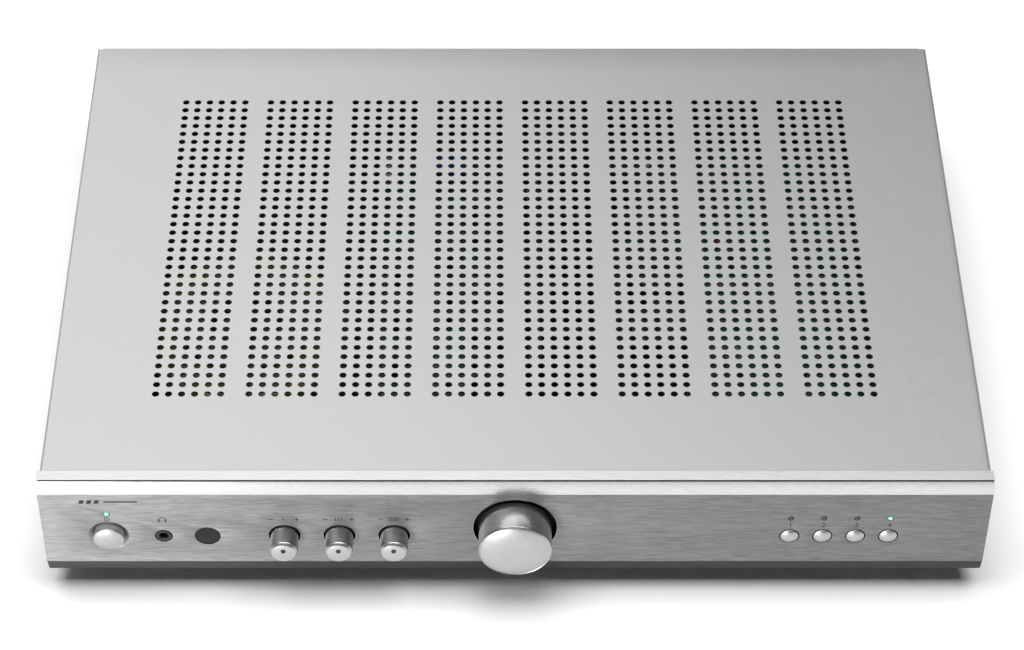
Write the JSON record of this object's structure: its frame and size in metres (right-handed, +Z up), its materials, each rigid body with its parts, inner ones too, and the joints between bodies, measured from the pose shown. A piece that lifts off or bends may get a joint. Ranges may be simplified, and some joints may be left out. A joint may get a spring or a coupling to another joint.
{
  "type": "integrated amplifier",
  "caption": "Slim full-width integrated amplifier: silver perforated cover, brushed front with a large volume knob, tone knobs, power and source buttons.",
  "frame": {"origin": "centre of the bounding box's bottom face, on the surface that the feet stand on", "axes": "+X to the right across the front, +Y from the front panel to the back, +Z up"},
  "size_m": [0.43, 0.344, 0.073],
  "materials": {
    "brushed_aluminium": "horizontally brushed, clear anodised",
    "satin_aluminium": "satin, clear anodised",
    "silver_paint": "fine satin silver paint",
    "black_steel": "satin black powder coat",
    "zinc_steel": "bright zinc plated",
    "silver_screw": "nickel plated, countersunk head",
    "heat_sink_metal": "black anodised extrusion",
    "foot_rubber": "matt black",
    "black_plastic": "moulded, matt black",
    "smoked_plastic": "smoked, infrared-clear",
    "lit_lamp": "lit, green-blue",
    "dark_lamp": "clear, unlit",
    "circuit_board": "green solder mask",
    "winding_tape": "amber polyester tape over copper and steel",
    "capacitor_sleeve": "shrink sleeve",
    "relay_case": "moulded, translucent blue"
  },
  "bodies": {
    "case": {"front_panel": "brushed_aluminium", "top_cover": "silver_paint", "sub_panel": "black_steel", "chassis_pan": "black_steel", "rear_panel": "black_steel", "volume_potentiometer": "zinc_steel", "transformer_clamp": "zinc_steel", "balance_potentiometer": "zinc_steel", "bass_potentiometer": "zinc_steel", "treble_potentiometer": "zinc_steel", "cover_screw_left_front": "silver_screw", "cover_screw_left_rear": "silver_screw", "cover_screw_right_front": "silver_screw", "cover_screw_right_rear": "silver_screw", "heat_sink": "heat_sink_metal", "foot_front_left": "foot_rubber", "foot_front_right": "foot_rubber", "foot_rear_left": "foot_rubber", "foot_rear_right": "foot_rubber", "power_switch": "black_plastic", "headphone_jack": "black_plastic", "mains_inlet": "black_plastic", "input_jacks": "black_plastic", "speaker_terminals": "black_plastic", "bridge_rectifier": "black_plastic", "output_transistor_1": "black_plastic", "output_transistor_2": "black_plastic", "output_transistor_3": "black_plastic", "output_transistor_4": "black_plastic", "remote_sensor_window": "smoked_plastic", "power_led": "lit_lamp", "source_led_4": "lit_lamp", "source_led_1": "dark_lamp", "source_led_2": "dark_lamp", "source_led_3": "dark_lamp", "main_board": "circuit_board", "tone_board": "circuit_board", "source_board": "circuit_board", "toroidal_transformer": "winding_tape", "reservoir_capacitor_1": "capacitor_sleeve", "reservoir_capacitor_2": "capacitor_sleeve", "speaker_relay": "relay_case"},
    "volume": {"volume_knob": "satin_aluminium", "volume_shaft": "zinc_steel"},
    "balance": {"balance_knob": "satin_aluminium", "balance_shaft": "zinc_steel"},
    "bass": {"bass_knob": "satin_aluminium", "bass_shaft": "zinc_steel"},
    "treble": {"treble_knob": "satin_aluminium", "treble_shaft": "zinc_steel"},
    "power_key": {"power_button": "satin_aluminium"},
    "source_key_1": {"source_button_1": "satin_aluminium"},
    "source_key_2": {"source_button_2": "satin_aluminium"},
    "source_key_3": {"source_button_3": "satin_aluminium"},
    "source_key_4": {"source_button_4": "satin_aluminium"},
    "terminal_1": {"terminal_cap_1": "black_plastic"},
    "terminal_2": {"terminal_cap_2": "black_plastic"},
    "terminal_3": {"terminal_cap_3": "black_plastic"},
    "terminal_4": {"terminal_cap_4": "black_plastic"},
    "ground_terminal": {"ground_screw": "zinc_steel"}
  },
  "joints": [
    {"name": "volume_turn", "type": "hinge", "parent": "case", "child": "volume", "pos_m": [0, -0.155, 0.044], "axis": [0, 1, 0], "range_deg": [-150, 150]},
    {"name": "balance_turn", "type": "hinge", "parent": "case", "child": "balance", "pos_m": [-0.105, -0.155, 0.0386], "axis": [0, 1, 0], "range_deg": [-140, 140]},
    {"name": "bass_turn", "type": "hinge", "parent": "case", "child": "bass", "pos_m": [-0.08, -0.155, 0.0386], "axis": [0, 1, 0], "range_deg": [-140, 140]},
    {"name": "treble_turn", "type": "hinge", "parent": "case", "child": "treble", "pos_m": [-0.055, -0.155, 0.0386], "axis": [0, 1, 0], "range_deg": [-140, 140]},
    {"name": "power_press", "type": "slide", "parent": "case", "child": "power_key", "axis": [0, 1, 0], "range_m": [0, 0.003], "stiffness_N_per_m": 700, "springref_m": -0.001},
    {"name": "source_press_1", "type": "slide", "parent": "case", "child": "source_key_1", "axis": [0, 1, 0], "range_m": [0, 0.0006], "stiffness_N_per_m": 1500, "springref_m": -0.0004},
    {"name": "source_press_2", "type": "slide", "parent": "case", "child": "source_key_2", "axis": [0, 1, 0], "range_m": [0, 0.0006], "stiffness_N_per_m": 1500, "springref_m": -0.0004},
    {"name": "source_press_3", "type": "slide", "parent": "case", "child": "source_key_3", "axis": [0, 1, 0], "range_m": [0, 0.0006], "stiffness_N_per_m": 1500, "springref_m": -0.0004},
    {"name": "source_press_4", "type": "slide", "parent": "case", "child": "source_key_4", "axis": [0, 1, 0], "range_m": [0, 0.0006], "stiffness_N_per_m": 1500, "springref_m": -0.0004},
    {"name": "terminal_turn_1", "type": "hinge", "parent": "case", "child": "terminal_1", "pos_m": [-0.083, 0.16, 0.042], "axis": [0, 1, 0], "range_deg": [0, 1080]},
    {"name": "terminal_turn_2", "type": "hinge", "parent": "case", "child": "terminal_2", "pos_m": [-0.061, 0.16, 0.042], "axis": [0, 1, 0], "range_deg": [0, 1080]},
    {"name": "terminal_turn_3", "type": "hinge", "parent": "case", "child": "terminal_3", "pos_m": [-0.029, 0.16, 0.042], "axis": [0, 1, 0], "range_deg": [0, 1080]},
    {"name": "terminal_turn_4", "type": "hinge", "parent": "case", "child": "terminal_4", "pos_m": [-0.007, 0.16, 0.042], "axis": [0, 1, 0], "range_deg": [0, 1080]},
    {"name": "ground_turn", "type": "hinge", "parent": "case", "child": "ground_terminal", "pos_m": [0.055, 0.155, 0.0335], "axis": [0, 1, 0], "range_deg": [0, 1080]}
  ]
}
